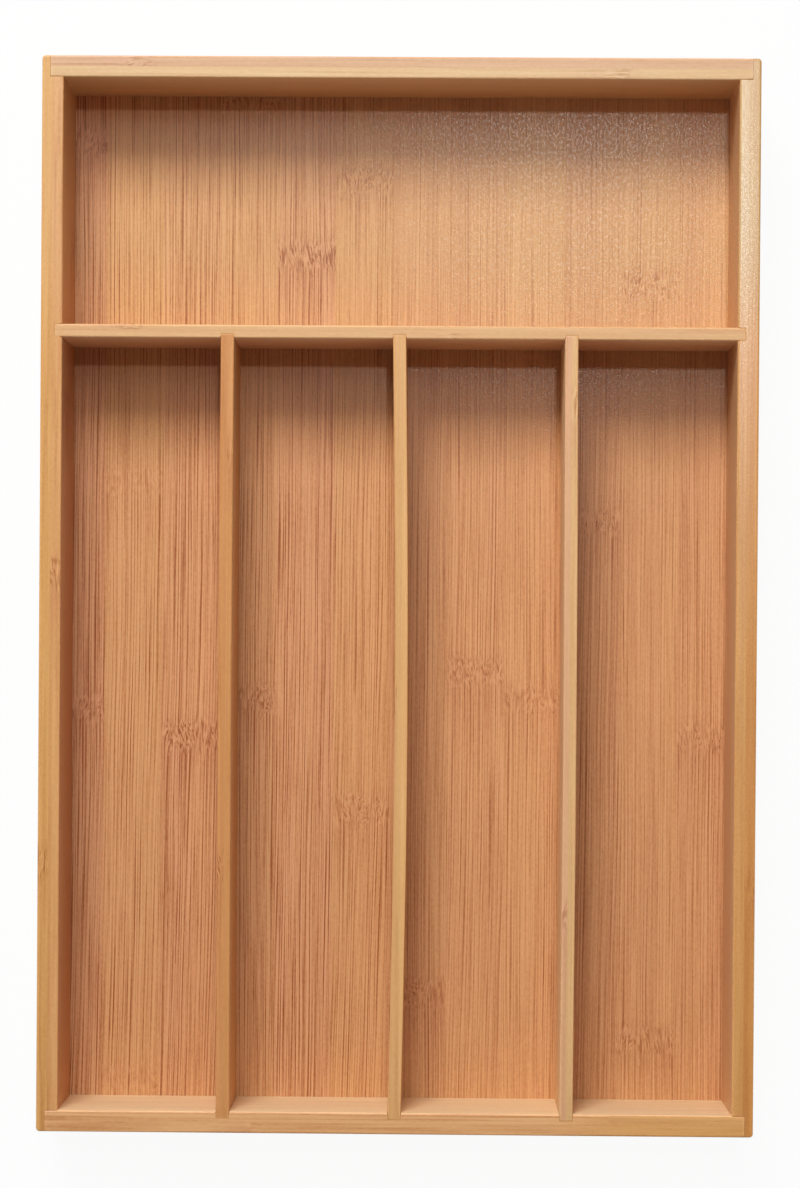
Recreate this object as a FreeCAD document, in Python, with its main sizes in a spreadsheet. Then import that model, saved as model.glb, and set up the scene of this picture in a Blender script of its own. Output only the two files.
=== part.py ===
import FreeCAD, Part
import os
import Sketcher

# A bamboo cutlery tray for a kitchen drawer, in millimetres.
# The sides, front and back are rabbeted together at the corners and grooved for the floor.
# A cross divider, let into dadoes in the sides, parts a wide back bay from the long bays.
# Long dividers are let into dadoes in the cross divider and in the front board.
# +X is to the right, +Y to the back and +Z up. The origin is under the middle of the tray.

# Driving dimensions: alias, value, what it sets
SIZES = (
    ("tray_width", 300, "outside, left to right"),
    ("tray_length", 450, "outside, front to back"),
    ("tray_height", 50, "underside to rim"),
    ("board_thickness", 9, "sides, front and back"),
    ("divider_thickness", 5.5, "cross divider and long dividers"),
    ("floor_thickness", 4, "floor panel"),
    ("floor_lift", 3, "table to the underside of the floor panel"),
    ("back_bay_depth", 103, "clear depth of the wide back bay"),
    ("groove_depth", 4, "groove for the floor in the four boards"),
    ("rabbet_lip", 3.5, "what a corner rabbet leaves of a side"),
    ("side_dado_depth", 3.5, "dado in a side for the cross divider"),
    ("front_dado_depth", 3, "dadoes in the front for the long dividers"),
    ("cross_dado_depth", 2, "dadoes in the cross divider for the long dividers"),
    ("edge_radius", 0.8, "eased edges of the four boards"),
    ("divider_edge_radius", 0.7, "eased top edges of the dividers"),
    ("corner_radius", 1.5, "upright outer corners of the tray"),
    ("tongue_radius", 0.6, "upright edges at the ends of the dividers"),
    ("floor_chamfer", 0.6, "bevel that leads the floor panel into its grooves"),
    ("joint_gap", 0.1, "glue line in the joints"),
    ("cut_overrun", 2, "how far the outline of a cut passes the wood"),
)

LONG_DIVIDERS = ("long_divider_left", "long_divider_middle", "long_divider_right")
LONG_BAYS = len(LONG_DIVIDERS) + 1

# Lengths worked out from the driving dimensions, as expressions
HALF_BOARD = "Sizes.board_thickness / 2"
HALF_DIVIDER = "Sizes.divider_thickness / 2"
HALF_LENGTH = "Sizes.tray_length / 2"
SIDE_PLACE = "(Sizes.tray_width - Sizes.board_thickness) / 2"
END_PLACE = "(Sizes.tray_length - Sizes.board_thickness) / 2"
INNER_WIDTH = "(Sizes.tray_width - 2 * Sizes.board_thickness)"
INNER_LENGTH = "(Sizes.tray_length - 2 * Sizes.board_thickness)"
FLOOR_TOP = "(Sizes.floor_lift + Sizes.floor_thickness)"
GROOVE_TOP = f"({FLOOR_TOP} + Sizes.joint_gap)"
DIVIDER_HEIGHT = f"(Sizes.tray_height - {FLOOR_TOP})"
DADO_HALF_WIDTH = f"({HALF_DIVIDER} + Sizes.joint_gap)"
CROSS_MIDDLE = f"({INNER_LENGTH} / 2 - Sizes.back_bay_depth - {HALF_DIVIDER})"
BAY_PITCH = f"(({INNER_WIDTH} + Sizes.divider_thickness) / {LONG_BAYS})"
DIVIDER_SPAN = f"({BAY_PITCH} * {len(LONG_DIVIDERS) - 1})"
LONG_DIVIDER_BACK = f"({CROSS_MIDDLE} - {HALF_DIVIDER} + Sizes.cross_dado_depth - Sizes.joint_gap)"
LONG_DIVIDER_FRONT = f"(-{INNER_LENGTH} / 2 - Sizes.front_dado_depth + Sizes.joint_gap)"

doc = FreeCAD.newDocument("cutlery_tray")
sheet = doc.addObject("Spreadsheet::Sheet", "Sizes")
for row, (alias, value, note) in enumerate(SIZES, 1):
    sheet.set(f"A{row}", str(value))
    sheet.setAlias(f"A{row}", alias)
    sheet.set(f"B{row}", note)
doc.recompute()


def new_body(label):
    """A body whose label also names its file."""
    body = doc.addObject("PartDesign::Body", label)
    body.Label = label
    return body


def place(body, x="0", y="0", z="0", turned=False):
    """Puts a body where the expressions say, turned end for end if asked."""
    turn = FreeCAD.Rotation(FreeCAD.Vector(0, 0, 1), 180 if turned else 0)
    body.Placement = FreeCAD.Placement(FreeCAD.Vector(), turn)
    for axis, expression in zip("xyz", (x, y, z)):
        body.setExpression(f".Placement.Base.{axis}", expression)
    doc.recompute()


def new_sketch(body, name, plane, lift=None):
    """A sketch on one of the body's own origin planes, raised off it if a lift is given."""
    sketch = body.newObject("Sketcher::SketchObject", name)
    support = next(item for item in body.Origin.OriginFeatures if item.Role == plane)
    sketch.AttachmentSupport = [(support, "")]
    sketch.MapMode = "FlatFace"
    if lift:
        sketch.setExpression(".AttachmentOffset.Base.z", lift)
    return sketch


def add_rectangle(sketch, left, right, low, high):
    """Draws a rectangle whose four sides lie where the expressions say."""
    corners = [FreeCAD.Vector(x, y, 0) for x, y in ((0, 0), (1, 0), (1, 1), (0, 1))]
    ends = zip(corners, corners[1:] + corners[:1])
    lines = [sketch.addGeometry(Part.LineSegment(start, end)) for start, end in ends]
    bottom, east, top, west = lines
    for line, following in zip(lines, lines[1:] + lines[:1]):
        sketch.addConstraint(Sketcher.Constraint("Coincident", line, 2, following, 1))
    for direction, pair in (("Horizontal", (bottom, top)), ("Vertical", (east, west))):
        for line in pair:
            sketch.addConstraint(Sketcher.Constraint(direction, line))
    places = (("X", west, left), ("X", east, right), ("Y", bottom, low), ("Y", top, high))
    for axis, line, expression in places:
        index = sketch.addConstraint(Sketcher.Constraint(f"Distance{axis}", -1, 1, line, 1, 1))
        sketch.setExpression(f"Constraints[{index}]", expression)
    doc.recompute()


def pad_board(body, sketch, length, centred=True):
    """Gives a section its length: to both sides of the sketch, or upwards from it."""
    board = body.newObject("PartDesign::Pad", "board")
    board.Profile = sketch
    board.Midplane = centred
    board.setExpression("Length", length)
    doc.recompute()


def cut(body, sketch, name, lengthwise=False):
    """Cuts an outline away through all the wood above it, or along the whole board."""
    before = body.Shape.Volume
    pocket = body.newObject("PartDesign::Pocket", name)
    pocket.Profile = sketch
    pocket.Type = "ThroughAll"
    pocket.Midplane = lengthwise
    pocket.Reversed = not lengthwise
    doc.recompute()
    if body.Shape.Volume >= before:
        raise RuntimeError(f"{name} takes nothing off {body.Label}")
    return pocket


def repeat_dado(body, dado, sketch):
    """Repeats the first divider's dado for the other dividers."""
    row_of_dadoes = body.newObject("PartDesign::LinearPattern", "dado_row")
    row_of_dadoes.Originals = [dado]
    row_of_dadoes.Direction = (sketch, ["H_Axis"])
    row_of_dadoes.setExpression("Length", DIVIDER_SPAN)
    row_of_dadoes.Occurrences = len(LONG_DIVIDERS)
    body.Tip = row_of_dadoes
    doc.recompute()


def on_side(value, limits):
    """Whether a coordinate lies on either limit of the board."""
    return any(abs(value - limit) < Part.Precision.approximation() for limit in limits)


def dress_edges(body, kind, name, measure, expression, wanted):
    """Rounds or bevels the edges that pass a test on their middle point.

    The test gets whether that point lies on the outside of the board in X, Y and Z, and the point.
    """
    base = body.Tip
    box = base.Shape.BoundBox
    limits = ((box.XMin, box.XMax), (box.YMin, box.YMax), (box.ZMin, box.ZMax))
    names = []
    for number, edge in enumerate(base.Shape.Edges, 1):
        middle = edge.valueAt((edge.FirstParameter + edge.LastParameter) / 2)
        sides = [on_side(value, pair) for value, pair in zip(middle, limits)]
        if wanted(sides, middle):
            names.append(f"Edge{number}")
    dressing = body.newObject(kind, name)
    dressing.Base = (base, names)
    dressing.setExpression(measure, expression)
    doc.recompute()


def round_edges(body, name, radius, wanted):
    """Rounds the edges that pass a test."""
    dress_edges(body, "PartDesign::Fillet", name, "Radius", radius, wanted)


def make_side(label, x, turned):
    """A side board: rabbeted at both ends, grooved for the floor, with one dado across.

    Its inner face is towards +X. The right side is the same board turned end for end,
    so its dado lies at the other end.
    """
    body = new_body(label)
    section = new_sketch(body, "section", "XZ_Plane")
    add_rectangle(section, f"-{HALF_BOARD}", HALF_BOARD, "0", "Sizes.tray_height")
    pad_board(body, section, "Sizes.tray_length")

    shoulder = f"-{HALF_BOARD} + Sizes.rabbet_lip"
    past_inner_face = f"{HALF_BOARD} + Sizes.cut_overrun"
    past_end = f"{HALF_LENGTH} + Sizes.cut_overrun"
    rabbets = new_sketch(body, "rabbets", "XY_Plane")
    add_rectangle(rabbets, shoulder, past_inner_face, f"{INNER_LENGTH} / 2", past_end)
    add_rectangle(rabbets, shoulder, past_inner_face, f"-({past_end})", f"-{INNER_LENGTH} / 2")
    cut(body, rabbets, "rabbet_cut")

    groove_bed = f"{HALF_BOARD} - Sizes.groove_depth"
    groove = new_sketch(body, "groove", "XZ_Plane")
    add_rectangle(groove, groove_bed, past_inner_face, "Sizes.floor_lift", GROOVE_TOP)
    cut(body, groove, "groove_cut", lengthwise=True)

    dado_bed = f"{HALF_BOARD} - Sizes.side_dado_depth"
    middle = f"-{CROSS_MIDDLE}" if turned else CROSS_MIDDLE
    dado_ends = (f"{middle} - {DADO_HALF_WIDTH}", f"{middle} + {DADO_HALF_WIDTH}")
    dado = new_sketch(body, "dado", "XY_Plane", lift=FLOOR_TOP)
    add_rectangle(dado, dado_bed, past_inner_face, *dado_ends)
    cut(body, dado, "dado_cut")

    def outer_corner(sides, middle):
        return sides[0] and sides[1] and middle.x < 0

    def rim_or_foot(sides, middle):
        return sides[2] and (sides[0] or sides[1])

    round_edges(body, "outer_corners", "Sizes.corner_radius", outer_corner)
    round_edges(body, "eased_edges", "Sizes.edge_radius", rim_or_foot)
    place(body, x=x, turned=turned)
    return body


def make_end(label, y, turned, with_dadoes):
    """The front or back board: it fits between the lips of the sides and is grooved for the floor.

    Its inner face is towards -Y, and the front board is turned to face the back.
    """
    body = new_body(label)
    section = new_sketch(body, "section", "YZ_Plane")
    add_rectangle(section, f"-{HALF_BOARD}", HALF_BOARD, "0", "Sizes.tray_height")
    pad_board(body, section, "Sizes.tray_width - 2 * (Sizes.rabbet_lip + Sizes.joint_gap)")

    past_inner_face = f"-{HALF_BOARD} - Sizes.cut_overrun"
    groove_bed = f"-{HALF_BOARD} + Sizes.groove_depth"
    groove = new_sketch(body, "groove", "YZ_Plane")
    add_rectangle(groove, past_inner_face, groove_bed, "Sizes.floor_lift", GROOVE_TOP)
    cut(body, groove, "groove_cut", lengthwise=True)

    if with_dadoes:
        dado_bed = f"-{HALF_BOARD} + Sizes.front_dado_depth"
        cut_divider_dadoes(body, past_inner_face, dado_bed, lift=FLOOR_TOP)

    def long_edge(sides, middle):
        return sides[1] and sides[2]

    round_edges(body, "eased_edges", "Sizes.edge_radius", long_edge)
    place(body, y=y, turned=turned)
    return body


def cut_divider_dadoes(body, low, high, lift=None):
    """Cuts a row of upright dadoes, one for each long divider."""
    dado = new_sketch(body, "dado", "XY_Plane", lift=lift)
    first = f"-{DIVIDER_SPAN} / 2"
    add_rectangle(dado, f"{first} - {DADO_HALF_WIDTH}", f"{first} + {DADO_HALF_WIDTH}", low, high)
    repeat_dado(body, cut(body, dado, "dado_cut"), dado)


def make_floor():
    """The floor panel, held on all sides in the grooves and bevelled to enter them."""
    body = new_body("floor_panel")
    tongue = "Sizes.groove_depth - Sizes.joint_gap"
    half_width = f"({INNER_WIDTH} / 2 + {tongue})"
    half_length = f"({INNER_LENGTH} / 2 + {tongue})"
    outline = new_sketch(body, "outline", "XY_Plane")
    add_rectangle(outline, f"-{half_width}", half_width, f"-{half_length}", half_length)
    pad_board(body, outline, "Sizes.floor_thickness", centred=False)

    def lower_rim(sides, middle):
        return sides[2] and middle.z < body.Shape.BoundBox.Center.z

    dress_edges(body, "PartDesign::Chamfer", "lead_in", "Size", "Sizes.floor_chamfer", lower_rim)
    place(body, z="Sizes.floor_lift")
    return body


def round_divider(body, end_axis, thin_axis):
    """Eases the upright edges at a divider's ends and both edges along its top."""

    def tongue_edge(sides, middle):
        return sides[end_axis] and sides[thin_axis]

    def top_edge(sides, middle):
        return sides[2] and sides[thin_axis] and middle.z > body.Shape.BoundBox.Center.z

    round_edges(body, "tongue_edges", "Sizes.tongue_radius", tongue_edge)
    round_edges(body, "top_edges", "Sizes.divider_edge_radius", top_edge)


def make_cross_divider():
    """The divider across the tray, with dadoes for the long dividers in its front face."""
    body = new_body("cross_divider")
    section = new_sketch(body, "section", "YZ_Plane")
    add_rectangle(section, f"-{HALF_DIVIDER}", HALF_DIVIDER, "0", DIVIDER_HEIGHT)
    pad_board(body, section, f"{INNER_WIDTH} + 2 * (Sizes.side_dado_depth - Sizes.joint_gap)")
    past_front_face = f"-{HALF_DIVIDER} - Sizes.cut_overrun"
    cut_divider_dadoes(body, past_front_face, f"-{HALF_DIVIDER} + Sizes.cross_dado_depth")
    round_divider(body, end_axis=0, thin_axis=1)
    place(body, y=CROSS_MIDDLE, z=FLOOR_TOP)
    return body


def make_long_divider(label, number):
    """A divider from the front board to the cross divider."""
    body = new_body(label)
    section = new_sketch(body, "section", "XZ_Plane")
    add_rectangle(section, f"-{HALF_DIVIDER}", HALF_DIVIDER, "0", DIVIDER_HEIGHT)
    pad_board(body, section, f"{LONG_DIVIDER_BACK} - {LONG_DIVIDER_FRONT}")
    round_divider(body, end_axis=1, thin_axis=0)
    middle = f"({LONG_DIVIDER_BACK} + {LONG_DIVIDER_FRONT}) / 2"
    place(body, x=f"{BAY_PITCH} * {number} - {DIVIDER_SPAN} / 2", y=middle, z=FLOOR_TOP)
    return body


bodies = [
    make_side("left_side", f"-{SIDE_PLACE}", turned=False),
    make_side("right_side", SIDE_PLACE, turned=True),
    make_end("front_board", f"-{END_PLACE}", turned=True, with_dadoes=True),
    make_end("back_board", END_PLACE, turned=False, with_dadoes=False),
    make_floor(),
    make_cross_divider(),
]
bodies += [make_long_divider(label, number) for number, label in enumerate(LONG_DIVIDERS)]
doc.recompute()

for item in doc.Objects:
    if {"Invalid", "Error"} & set(item.State):
        raise RuntimeError(f"{item.Label} did not build: {item.State}")
for body in bodies:
    if body.Shape.isNull() or not body.Shape.isValid():
        raise RuntimeError(f"{body.Label} has no sound solid")

os.makedirs("parts", exist_ok=True)
for body in bodies:
    body.Shape.exportStep(f"parts/{body.Label}.step")
    box = body.Shape.BoundBox
    reach = f"{box.XLength:.1f} x {box.YLength:.1f} x {box.ZLength:.1f} mm"
    print(f"{body.Label}: {reach}, {body.Shape.Volume:.0f} mm3")
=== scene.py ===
"""Bamboo cutlery tray: laminated floor, bent dividers, lacquered boards and glue, under soft light."""
import math
from collections import namedtuple

import bmesh
import bpy
from mathutils import Euler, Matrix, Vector


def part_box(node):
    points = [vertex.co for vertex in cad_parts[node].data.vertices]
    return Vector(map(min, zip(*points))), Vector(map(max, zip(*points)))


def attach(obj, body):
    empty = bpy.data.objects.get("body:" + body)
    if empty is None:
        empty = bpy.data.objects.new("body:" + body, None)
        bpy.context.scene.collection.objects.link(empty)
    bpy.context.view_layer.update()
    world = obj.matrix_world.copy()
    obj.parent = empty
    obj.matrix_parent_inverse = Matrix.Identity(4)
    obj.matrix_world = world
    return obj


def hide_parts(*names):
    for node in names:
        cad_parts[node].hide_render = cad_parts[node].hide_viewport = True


bl_info = {
    "name": "Bamboo Cutlery Tray",
    "version": (1, 0, 0),
    "blender": (4, 5, 0),
    "location": "View3D > Sidebar > Tray",
    "description": "Dresses a packed cutlery tray in laminated bamboo and sets it under soft light",
    "category": "Object",
}

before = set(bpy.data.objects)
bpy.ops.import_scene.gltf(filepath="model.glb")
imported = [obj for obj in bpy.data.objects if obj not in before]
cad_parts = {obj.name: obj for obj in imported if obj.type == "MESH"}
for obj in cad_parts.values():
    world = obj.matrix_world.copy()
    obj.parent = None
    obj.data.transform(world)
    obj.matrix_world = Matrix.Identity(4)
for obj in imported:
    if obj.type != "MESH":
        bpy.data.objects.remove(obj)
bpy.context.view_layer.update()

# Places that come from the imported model
FLOOR_LOW, FLOOR_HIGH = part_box("floor_panel")
RIM_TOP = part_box("left_side")[1].z

# The picture's height, its lens and how far its middle is shifted, in pixels of the whole picture
PICTURE_HIGH = 1188.0
LENS_PIXELS = 2909.05
FRAME_SHIFT_PIXELS = 86.0

# The camera: its sensor in millimetres, its place with the height above the rim, and its turn in radians
SENSOR_SIZE = 36.0
CAMERA_PLACE = (0.01493, -0.02393, 1.2146)
CAMERA_TURN = (-0.009, 0.0113, 0.0073)

# One lamp: its name, place with the height above the rim, size, shape and the setting of its power
Lamp = namedtuple("Lamp", "name x y height size shape power")
LAMPS = (
    Lamp("broad_light", -0.40, 1.45, 1.50, 0.70, "SQUARE", "broad_power"),
    Lamp("panel_light", 0.0, 1.0, 2.0, 0.80, "SQUARE", "panel_power"),
    Lamp("small_light", 0.20, 0.57, 2.50, 0.10, "DISK", "small_power"),
)

# The sky dims over this rise of the view, where 0 is level and 1 is straight up
HORIZON = (0.12, 0.45)

# The ground: half its width, its share of plain white near the tray, and where that share grows to 1
GROUND_REACH = 12.0
GROUND_WHITE = 0.94
GROUND_FADE = (0.40, 1.20)
WHITE = (1.0, 1.0, 1.0, 1.0)

# One floor strip: how light it is, how pink, how much its fibres show, how they bend sideways,
# how strongly its nodes are marked and where these lie along the grain
Strip = namedtuple("Strip", "tone blush fibres bend marking near_node far_node")
FLOOR_STRIPS = (
    Strip(-0.15, 0.85, 1.40, 0.030, 0.8, 0.197, -0.049),
    Strip(0.25, 0.25, 1.25, 0.035, 0.4, 0.050, -0.209),
    Strip(0.05, 0.55, 1.40, 0.035, 1.0, 0.230, -0.060),
    Strip(0.15, 0.40, 1.35, 0.010, 0.8, 0.215, -0.044),
    Strip(0.05, 0.65, 1.45, 0.015, 1.0, 0.148, -0.230),
    Strip(0.25, 0.20, 1.20, 0.040, 0.7, 0.181, -0.092),
    Strip(0.15, 0.40, 0.95, 0.000, 0.7, 0.240, -0.171),
    Strip(0.05, 0.40, 1.05, 0.020, 0.7, 0.225, -0.031),
    Strip(0.25, 0.30, 1.00, 0.000, 0.6, 0.250, -0.043),
    Strip(-0.20, 0.45, 0.86, 0.030, 0.6, 0.034, -0.250),
    Strip(0.10, 0.30, 0.84, -0.010, 0.7, 0.136, -0.190),
    Strip(0.00, 0.40, 0.88, 0.000, 0.6, 0.240, -0.060),
)
FIRST_SEED = 3.1
SEED_STEP = 7.7

# The casts between which a strip's blush chooses, and how strong a node is that changes the fibres past it
STRIP_YELLOW = (1.0, 1.03, 0.92, 1.0)
STRIP_PINK = (1.0, 0.97, 1.03, 1.0)
MARKED_NODE = (0.45, 0.55)

# Painted shade and sheen along the floor, from its front to its back: darker by the front wall and just
# before the cross divider, paler in the back bay. Each is a place along the grain and a tint
FLOOR_PAINTED_SHADE_AND_SHEEN = (
    (-0.215, (0.85, 0.85, 0.86)), (-0.165, (0.94, 0.91, 0.93)), (-0.045, (0.98, 0.95, 0.96)),
    (0.050, (0.95, 0.915, 0.92)), (0.082, (0.85, 0.77, 0.70)), (0.118, (0.94, 0.98, 0.97)),
    (0.150, (0.95, 1.00, 1.00)), (0.215, (0.98, 0.94, 0.92)),
)

# A painted sheen that makes the floor paler at its back right, and its calmer fibres there: where each sets
# in, and how strong it is
SHEEN_ALONG = (0.105, 0.125)
SHEEN_ACROSS = (-0.02, 0.09)
SHEEN_TINT = (0.99, 1.06, 1.08, 1.0)
CALM_ALONG = (0.06, 0.14)
CALM_ACROSS = (-0.10, 0.05)
CALM_SHARE = 0.40

# A tint of a board's top edge and one of its faces, which holds painted light and shade
Tint = namedtuple("Tint", "edge face")
PLAIN = Tint((1.0, 1.0, 1.0), (1.0, 1.0, 1.0))

# One ply: the tint of its edge and of its face against the boards' main colour, and how much its fibres show.
# The face tints are painted light and shade, each side of a board as light or dark as the light falls on it;
# the edge tints hold the plies' own colour and a painted sheen
Ply = namedtuple("Ply", "edge face fibres")

# How a board's bump rises through it and along its grain, per metre
LEVEL = (0.0, 0.0)

# One board: the axes of its grain, width and thickness, its two plies, where each ply has a node at the top
# edge, how strong these are, its polish, how its bump rises, its painted light and shade at the back or right
# end, and a seed
Board = namedtuple(
    "Board", "node grain across through low_ply high_ply knots marking polish lean far_end seed")
# The face tints and the tints at the back or right end are painted light and shade; the top-edge tints hold
# the plies' own colour and a painted sheen, strongest on the back board and cross divider
RIM_BOARDS = (
    Board("left_side", "Y", "Z", "X",
          Ply((1.02, 1.00, 0.84), (1.0, 1.0, 1.0), 0.60), Ply((1.01, 0.95, 0.90), (0.87, 0.80, 0.88), 0.60),
          (-0.112, 0.009), 1.30, 0.40, LEVEL, Tint((1.02, 1.08, 1.23), (0.93, 0.95, 0.84)), 1.0),
    Board("right_side", "Y", "Z", "X",
          Ply((0.98, 0.90, 0.72), (1.02, 1.12, 1.36), 0.55), Ply((0.93, 0.77, 0.51), (1.0, 1.0, 1.0), 0.60),
          (0.250, -0.120), 0.55, 0.84, (0.026, -0.012), Tint((0.86, 1.12, 1.44), (0.92, 0.89, 0.87)), 2.0),
    Board("front_board", "X", "Z", "Y",
          Ply((1.09, 1.08, 1.18), (1.0, 1.0, 1.0), 0.95), Ply((1.12, 1.13, 1.27), (1.22, 1.68, 2.44), 0.80),
          (-0.060, 0.090), 0.30, 0.30, LEVEL, Tint((0.94, 0.91, 0.74), (1.0, 1.0, 1.0)), 3.0),
    Board("back_board", "X", "Z", "Y",
          Ply((1.06, 1.32, 1.78), (0.86, 1.00, 1.28), 0.50), Ply((0.99, 1.14, 1.68), (1.0, 1.0, 1.0), 0.55),
          (0.090, -0.110), 0.70, 0.22, LEVEL, PLAIN, 4.0),
)
CROSS_BOARD = Board(
    "cross_divider", "X", "Z", "Y",
    Ply((1.06, 1.18, 1.42), (1.16, 1.30, 1.74), 0.45), Ply((1.06, 1.16, 1.38), (1.0, 1.0, 1.0), 0.45),
    (0.020, -0.112), 0.70, 0.28, LEVEL, PLAIN, 5.0)
LONG_BOARDS = (
    Board("long_divider_left", "Y", "Z", "X",
          Ply((0.93, 0.79, 0.71), (1.06, 1.02, 1.04), 0.45), Ply((0.96, 0.83, 0.74), (1.0, 1.04, 1.08), 0.45),
          (-0.114, 0.060), 1.20, 0.30, LEVEL, PLAIN, 6.0),
    Board("long_divider_middle", "Y", "Z", "X",
          Ply((1.06, 1.10, 1.10), (1.0, 1.0, 1.0), 0.40), Ply((1.08, 1.14, 1.15), (1.0, 1.0, 1.0), 0.40),
          (-0.043, 0.190), 1.00, 0.30, LEVEL, PLAIN, 7.0),
    Board("long_divider_right", "Y", "Z", "X",
          Ply((1.08, 1.14, 1.52), (1.23, 1.62, 2.28), 0.40), Ply((1.11, 1.26, 1.42), (1.0, 1.0, 1.0), 0.40),
          (-0.133, 0.080), 1.00, 0.30, LEVEL, PLAIN, 8.0),
)

# The stretch of a board's length over which its painted light and shade at the back or right end sets in
FAR_END_SHARES = (0.70, 0.856)

# Half the seam between the plies, the eased edge above the top strip, and how far below the rim the tint of
# the top edge sets in and is whole
PLY_SEAM = 0.00012
EDGE_EASE = 0.0005
TOP_BAND = (0.0006, 0.0001)

# How far nodes move from one strip of a board to the next, and how strips, plies and boards differ in seed
KNOT_STEP = 0.071
STRIP_SEED = 3.7
PLY_SEED = 11.3
BOARD_SEED = 17.0

# The distances from a board's edges over which rubbed wear and a painted highlight make it paler
WEAR_AND_HIGHLIGHT_BAND = (0.0014, 0.0004)

# The glue in the joints: its tint against the boards' main colour, how much its fibres show, and its seed
GLUE_TINT = (0.96, 0.92, 0.90)
GLUE_FIBRES = 0.4
GLUE_SEED = 9.0

# The sideways sway of the fibres, and the place along the grain where a bent strip runs straight
SWAY_WIDTH = 0.030
SWAY_LENGTH = 0.14
SWAY_DEPTH = 0.0024
BEND_MIDDLE = 0.1

# One kind of soft mark: its width and length, and a number that keeps its noise apart. Then the noise's
# roughness, the noise over which dashes show, and the flecks' size
Mark = namedtuple("Mark", "width length spread")
BROAD_BAND = Mark(0.0090, 0.40, 5.0)
NARROW_BAND = Mark(0.0026, 0.16, 6.0)
SINGLE_LINE = Mark(0.0007, 0.050, 3.0)
SHORT_DASH = Mark(0.0006, 0.012, 7.0)
MARK_ROUGHNESS = 0.55
DASH_SHOWN = (0.57, 0.70)
FLECK_WIDTH = 0.0008
FLECK_LENGTH = 0.0022

# One kind of fibre bundle: its distance to the next, its radius as a share of that, its length and a number
Bundle = namedtuple("Bundle", "pitch radius length spread")
THICK_BUNDLE = Bundle(0.0015, 0.32, 0.085, 9.0)
THIN_BUNDLE = Bundle(0.00095, 0.34, 0.045, 4.0)

# How far a bundle's chance spreads its noise, its core's share of its radius, the noise over which it fades
# in, and how strong the faintest is
BUNDLE_SPAN = 90.0
BUNDLE_CORE = 0.65
BUNDLE_FADE = (0.36, 0.58)
FAINTEST_BUNDLE = 0.35

# One set of fine lines side by side: their distance, how long they show, a number and how dark they are
Ripple = namedtuple("Ripple", "pitch length spread weight")
CLOSE_LINES = Ripple(0.00115, 0.060, 8.0, 0.45)
MIDDLE_LINES = Ripple(0.0015, 0.090, 2.0, 0.42)
WIDE_LINES = Ripple(0.0021, 0.130, 13.0, 0.20)

# How the fine lines drift sideways: the scale across the grain in pitches and along it, and how many pitches
DRIFT_WIDTH = 2.5
DRIFT_LENGTH = 0.30
DRIFT_TURNS = 3.0

# The part of a fine line's wave that shows and its mean, and how lines fade: the scale across the grain in
# pitches, a number that keeps its noise apart, and the noise over which they fade in
CREST = (-0.2, 1.0)
CREST_MEAN = 0.39
FADE_WIDTH = 1.3
FADE_APART = 40.0
LINE_FADE = (0.36, 0.62)

# How the marks change through a ply against their width, and how the seed changes past a node
THROUGH_SHARE = 0.45
NODE_SEED = 5.3

# The node: the scale and depth of its ragged edge, the share of its reach that is marked in full, how much of
# the fibres it clears away, and where the wood before it starts and stops to blush
RAGGED_SCALE = 0.0035
RAGGED_DEPTH = 0.010
NODE_CORE = 0.4
NODE_CLEARING = 0.7
BLUSH_START = (-0.034, -0.004)
BLUSH_STOP = (0.012, 0.002)

# The strokes in a node: the scale and slope of their slant, their width and length, the noise of a dark and
# of a pale one, how strong a pale one is, and numbers that keep their noises apart
SLANT_SCALE = 0.0045
SLANT_SLOPE = 1.8
STROKE_WIDTH = 0.0007
STROKE_LENGTH = 0.0080
DARK_STROKE = (0.53, 0.63)
PALE_STROKE = (0.49, 0.39)
PALE_STROKE_SHARE = 0.8
SLANT_SEED = 1.3
STROKE_SEED = 2.0

# How far each mark takes the wood from its pale colour, at 0, to that of its fibres, at 1
DARKENING = {
    "base": 0.30, "line": 1.00, "dash": 0.12, "bundle": 0.12, "narrow": 0.05, "broad": 0.20, "fleck": 0.36,
    "stroke": 0.42, "blush": 0.16, "tone": 0.22,
}
STRAW_PLACE = 0.42

# The casts of the yellower and pinker wood, how much a broad band and a node's blush choose between them, and
# how much paler an edge is from rubbed wear and a painted highlight
YELLOW_CAST = (1.0, 1.02, 0.95, 1.0)
PINK_CAST = (1.0, 0.98, 1.03, 1.0)
BAND_PINK = 0.8
BLUSH_PINK = 0.4
WEAR_AND_HIGHLIGHT_CAST = (1.08, 1.08, 1.08, 1.0)

# The lacquer's uneven skin: its bumps to a metre, their depth, how far it sinks into dark fibres and rises on
# a node's strokes as shares of that depth, and how fast a board's top edge falls away from its middle
SKIN_SCALE = 1300.0
SKIN_DEPTH = 0.000045
FIBRE_SINK = 0.10
STROKE_RISE = 0.13
EDGE_CROWN = 3.0

# The lacquer's gloss: its index, how much duller a board's faces are than its top edge, how much the floor
# and plain boards mirror, and how much smoother an edge gets with more polish
LACQUER_IOR = 1.45
FACE_DULLNESS = 0.16
FLOOR_POLISH = 0.295
PLAIN_POLISH = 0.3
SHINE_SHARE = 0.12

# Smoother specks in the lacquer: their width and length, the noise over which they set in, how dull they are,
# and how strongly they and the uneven skin show on a board, where the floor has 1
SPECK_WIDTH = 0.0010
SPECK_LENGTH = 0.0015
SPECK_SHOWN = (0.42, 0.60)
SPECK_ROUGHNESS = 0.222
BOARD_SPECKS = 0.6
BOARD_SKIN = 0.48

# How a divider is made to bend: points this close and faces this flat are joined, it is cut into so many
# lengths, and corners above the last angle stay sharp
MERGE_DISTANCE = 1e-6
FLAT_ANGLE = math.radians(0.5)
BEND_STEPS = 24
SHARP_ANGLE = math.radians(32.0)

# Points in the rounding of a floor strip's edge
EASE_STEPS = 2


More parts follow.
